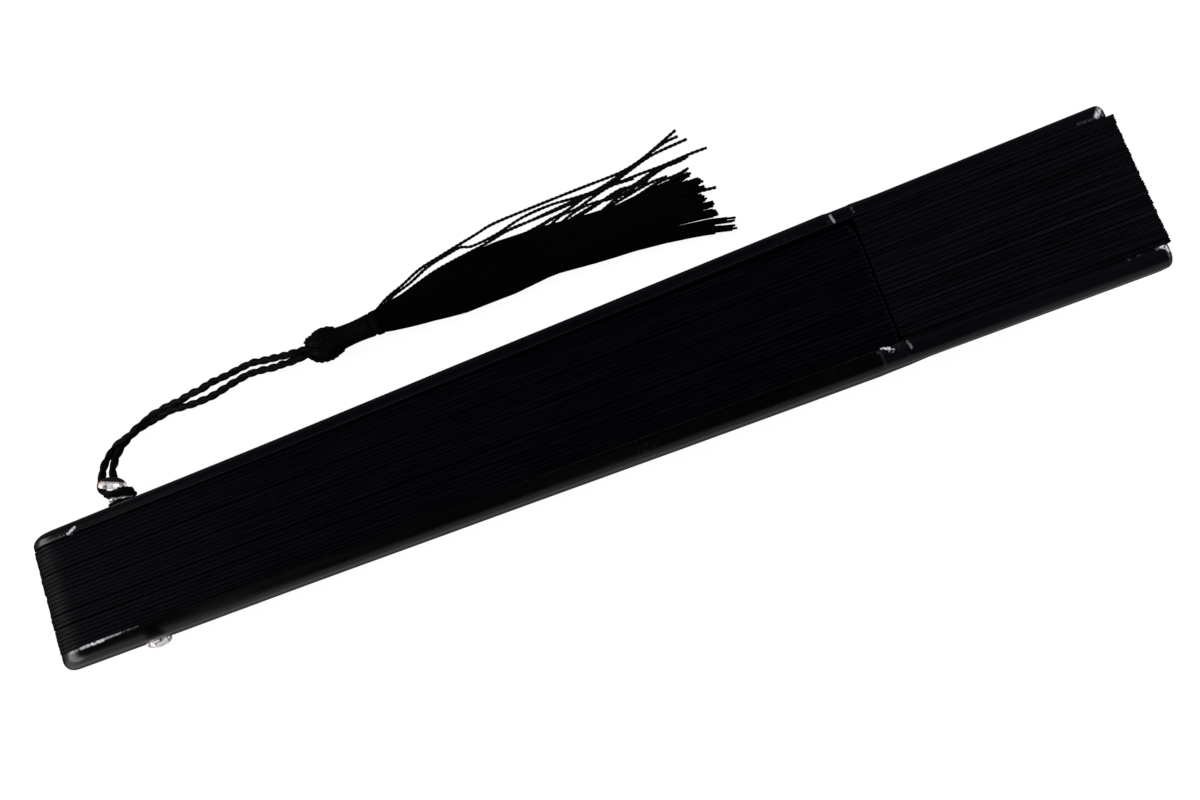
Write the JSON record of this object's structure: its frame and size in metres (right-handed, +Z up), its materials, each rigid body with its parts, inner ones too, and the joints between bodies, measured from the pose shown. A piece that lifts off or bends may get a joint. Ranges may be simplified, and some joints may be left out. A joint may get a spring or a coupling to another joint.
{
  "type": "folding fan with tassel",
  "caption": "Folding hand fan, shut, with black sticks between two wide guards, a pleated cloth leaf at the tip and a corded silk tassel looped on the rivet.",
  "frame": {"origin": "the table under the middle of the shut fan's box, tassel left out", "axes": "+X from the rivet end towards the leaf, +Y across the stack of sticks towards the tassel's side, +Z up from the table across the sticks' width"},
  "size_m": [0.23, 0.0609, 0.019],
  "materials": {
    "guard_paint": "satin black lacquer",
    "rib_stain": "black stain, satin edges",
    "leaf_cloth": "fine black cloth",
    "rivet_metal": "polished, a little warm",
    "tassel_silk": "twisted black silk thread"
  },
  "bodies": {
    "base": {"guard_near": "guard_paint", "rivet_pin": "rivet_metal", "rivet_washer": "rivet_metal", "rivet_cap": "rivet_metal", "leaf": "leaf_cloth"},
    "far_guard": {"guard_far": "guard_paint"},
    "rib_01": {"rib_01": "rib_stain"},
    "rib_02": {"rib_02": "rib_stain"},
    "rib_03": {"rib_03": "rib_stain"},
    "rib_04": {"rib_04": "rib_stain"},
    "rib_05": {"rib_05": "rib_stain"},
    "rib_06": {"rib_06": "rib_stain"},
    "rib_07": {"rib_07": "rib_stain"},
    "rib_08": {"rib_08": "rib_stain"},
    "rib_09": {"rib_09": "rib_stain"},
    "rib_10": {"rib_10": "rib_stain"},
    "rib_11": {"rib_11": "rib_stain"},
    "rib_12": {"rib_12": "rib_stain"},
    "rib_13": {"rib_13": "rib_stain"},
    "rib_14": {"rib_14": "rib_stain"},
    "rib_15": {"rib_15": "rib_stain"},
    "rib_16": {"rib_16": "rib_stain"},
    "rib_17": {"rib_17": "rib_stain"},
    "rib_18": {"rib_18": "rib_stain"},
    "rib_19": {"rib_19": "rib_stain"},
    "rib_20": {"rib_20": "rib_stain"},
    "rib_21": {"rib_21": "rib_stain"},
    "rib_22": {"rib_22": "rib_stain"},
    "rib_23": {"rib_23": "rib_stain"},
    "rib_24": {"rib_24": "rib_stain"},
    "rib_25": {"rib_25": "rib_stain"},
    "rib_26": {"rib_26": "rib_stain"},
    "tassel": {"cord_hitch": "tassel_silk", "cord_strand_1": "tassel_silk", "cord_strand_2": "tassel_silk", "tassel_knot": "tassel_silk", "tassel_head": "tassel_silk", "tassel_binding": "tassel_silk", "tassel_skirt": "tassel_silk"}
  },
  "joints": [
    {"name": "fan_open", "type": "hinge", "parent": "base", "child": "far_guard", "pos_m": [-0.0934, -0.0023, 0.0095], "axis": [0, -1, 0], "range_deg": [0, 180], "deforming": ["leaf"]},
    {"name": "rib_01_swing", "type": "hinge", "parent": "base", "child": "rib_01", "pos_m": [-0.0934, -0.0023, 0.0095], "axis": [0, -1, 0], "range_deg": [0, 6.77]},
    {"name": "rib_02_swing", "type": "hinge", "parent": "base", "child": "rib_02", "pos_m": [-0.0934, -0.0023, 0.0095], "axis": [0, -1, 0], "range_deg": [0, 13.43]},
    {"name": "rib_03_swing", "type": "hinge", "parent": "base", "child": "rib_03", "pos_m": [-0.0934, -0.0023, 0.0095], "axis": [0, -1, 0], "range_deg": [0, 20.1]},
    {"name": "rib_04_swing", "type": "hinge", "parent": "base", "child": "rib_04", "pos_m": [-0.0934, -0.0023, 0.0095], "axis": [0, -1, 0], "range_deg": [0, 26.77]},
    {"name": "rib_05_swing", "type": "hinge", "parent": "base", "child": "rib_05", "pos_m": [-0.0934, -0.0023, 0.0095], "axis": [0, -1, 0], "range_deg": [0, 33.43]},
    {"name": "rib_06_swing", "type": "hinge", "parent": "base", "child": "rib_06", "pos_m": [-0.0934, -0.0023, 0.0095], "axis": [0, -1, 0], "range_deg": [0, 40.1]},
    {"name": "rib_07_swing", "type": "hinge", "parent": "base", "child": "rib_07", "pos_m": [-0.0934, -0.0023, 0.0095], "axis": [0, -1, 0], "range_deg": [0, 46.77]},
    {"name": "rib_08_swing", "type": "hinge", "parent": "base", "child": "rib_08", "pos_m": [-0.0934, -0.0023, 0.0095], "axis": [0, -1, 0], "range_deg": [0, 53.43]},
    {"name": "rib_09_swing", "type": "hinge", "parent": "base", "child": "rib_09", "pos_m": [-0.0934, -0.0023, 0.0095], "axis": [0, -1, 0], "range_deg": [0, 60.1]},
    {"name": "rib_10_swing", "type": "hinge", "parent": "base", "child": "rib_10", "pos_m": [-0.0934, -0.0023, 0.0095], "axis": [0, -1, 0], "range_deg": [0, 66.77]},
    {"name": "rib_11_swing", "type": "hinge", "parent": "base", "child": "rib_11", "pos_m": [-0.0934, -0.0023, 0.0095], "axis": [0, -1, 0], "range_deg": [0, 73.43]},
    {"name": "rib_12_swing", "type": "hinge", "parent": "base", "child": "rib_12", "pos_m": [-0.0934, -0.0023, 0.0095], "axis": [0, -1, 0], "range_deg": [0, 80.1]},
    {"name": "rib_13_swing", "type": "hinge", "parent": "base", "child": "rib_13", "pos_m": [-0.0934, -0.0023, 0.0095], "axis": [0, -1, 0], "range_deg": [0, 86.77]},
    {"name": "rib_14_swing", "type": "hinge", "parent": "base", "child": "rib_14", "pos_m": [-0.0934, -0.0023, 0.0095], "axis": [0, -1, 0], "range_deg": [0, 93.43]},
    {"name": "rib_15_swing", "type": "hinge", "parent": "base", "child": "rib_15", "pos_m": [-0.0934, -0.0023, 0.0095], "axis": [0, -1, 0], "range_deg": [0, 100.1]},
    {"name": "rib_16_swing", "type": "hinge", "parent": "base", "child": "rib_16", "pos_m": [-0.0934, -0.0023, 0.0095], "axis": [0, -1, 0], "range_deg": [0, 106.77]},
    {"name": "rib_17_swing", "type": "hinge", "parent": "base", "child": "rib_17", "pos_m": [-0.0934, -0.0023, 0.0095], "axis": [0, -1, 0], "range_deg": [0, 113.43]},
    {"name": "rib_18_swing", "type": "hinge", "parent": "base", "child": "rib_18", "pos_m": [-0.0934, -0.0023, 0.0095], "axis": [0, -1, 0], "range_deg": [0, 120.1]},
    {"name": "rib_19_swing", "type": "hinge", "parent": "base", "child": "rib_19", "pos_m": [-0.0934, -0.0023, 0.0095], "axis": [0, -1, 0], "range_deg": [0, 126.77]},
    {"name": "rib_20_swing", "type": "hinge", "parent": "base", "child": "rib_20", "pos_m": [-0.0934, -0.0023, 0.0095], "axis": [0, -1, 0], "range_deg": [0, 133.43]},
    {"name": "rib_21_swing", "type": "hinge", "parent": "base", "child": "rib_21", "pos_m": [-0.0934, -0.0023, 0.0095], "axis": [0, -1, 0], "range_deg": [0, 140.1]},
    {"name": "rib_22_swing", "type": "hinge", "parent": "base", "child": "rib_22", "pos_m": [-0.0934, -0.0023, 0.0095], "axis": [0, -1, 0], "range_deg": [0, 146.77]},
    {"name": "rib_23_swing", "type": "hinge", "parent": "base", "child": "rib_23", "pos_m": [-0.0934, -0.0023, 0.0095], "axis": [0, -1, 0], "range_deg": [0, 153.43]},
    {"name": "rib_24_swing", "type": "hinge", "parent": "base", "child": "rib_24", "pos_m": [-0.0934, -0.0023, 0.0095], "axis": [0, -1, 0], "range_deg": [0, 160.1]},
    {"name": "rib_25_swing", "type": "hinge", "parent": "base", "child": "rib_25", "pos_m": [-0.0934, -0.0023, 0.0095], "axis": [0, -1, 0], "range_deg": [0, 166.77]},
    {"name": "rib_26_swing", "type": "hinge", "parent": "base", "child": "rib_26", "pos_m": [-0.0934, -0.0023, 0.0095], "axis": [0, -1, 0], "range_deg": [0, 173.43]},
    {"name": "tassel_swing", "type": "hinge", "parent": "base", "child": "tassel", "pos_m": [-0.0934, -0.0023, 0.0095], "axis": [0, -1, 0], "continuous": true}
  ],
  "couplings": [
    {"joint": "rib_01_swing", "follows": "fan_open", "ratio": 0.037037},
    {"joint": "rib_02_swing", "follows": "fan_open", "ratio": 0.074074},
    {"joint": "rib_03_swing", "follows": "fan_open", "ratio": 0.11111},
    {"joint": "rib_04_swing", "follows": "fan_open", "ratio": 0.14815},
    {"joint": "rib_05_swing", "follows": "fan_open", "ratio": 0.18518},
    {"joint": "rib_06_swing", "follows": "fan_open", "ratio": 0.22222},
    {"joint": "rib_07_swing", "follows": "fan_open", "ratio": 0.25926},
    {"joint": "rib_08_swing", "follows": "fan_open", "ratio": 0.2963},
    {"joint": "rib_09_swing", "follows": "fan_open", "ratio": 0.33333},
    {"joint": "rib_10_swing", "follows": "fan_open", "ratio": 0.37037},
    {"joint": "rib_11_swing", "follows": "fan_open", "ratio": 0.40741},
    {"joint": "rib_12_swing", "follows": "fan_open", "ratio": 0.44444},
    {"joint": "rib_13_swing", "follows": "fan_open", "ratio": 0.48148},
    {"joint": "rib_14_swing", "follows": "fan_open", "ratio": 0.51852},
    {"joint": "rib_15_swing", "follows": "fan_open", "ratio": 0.55556},
    {"joint": "rib_16_swing", "follows": "fan_open", "ratio": 0.59259},
    {"joint": "rib_17_swing", "follows": "fan_open", "ratio": 0.62963},
    {"joint": "rib_18_swing", "follows": "fan_open", "ratio": 0.66667},
    {"joint": "rib_19_swing", "follows": "fan_open", "ratio": 0.7037},
    {"joint": "rib_20_swing", "follows": "fan_open", "ratio": 0.74074},
    {"joint": "rib_21_swing", "follows": "fan_open", "ratio": 0.77778},
    {"joint": "rib_22_swing", "follows": "fan_open", "ratio": 0.81481},
    {"joint": "rib_23_swing", "follows": "fan_open", "ratio": 0.85185},
    {"joint": "rib_24_swing", "follows": "fan_open", "ratio": 0.88889},
    {"joint": "rib_25_swing", "follows": "fan_open", "ratio": 0.92593},
    {"joint": "rib_26_swing", "follows": "fan_open", "ratio": 0.96296}
  ]
}
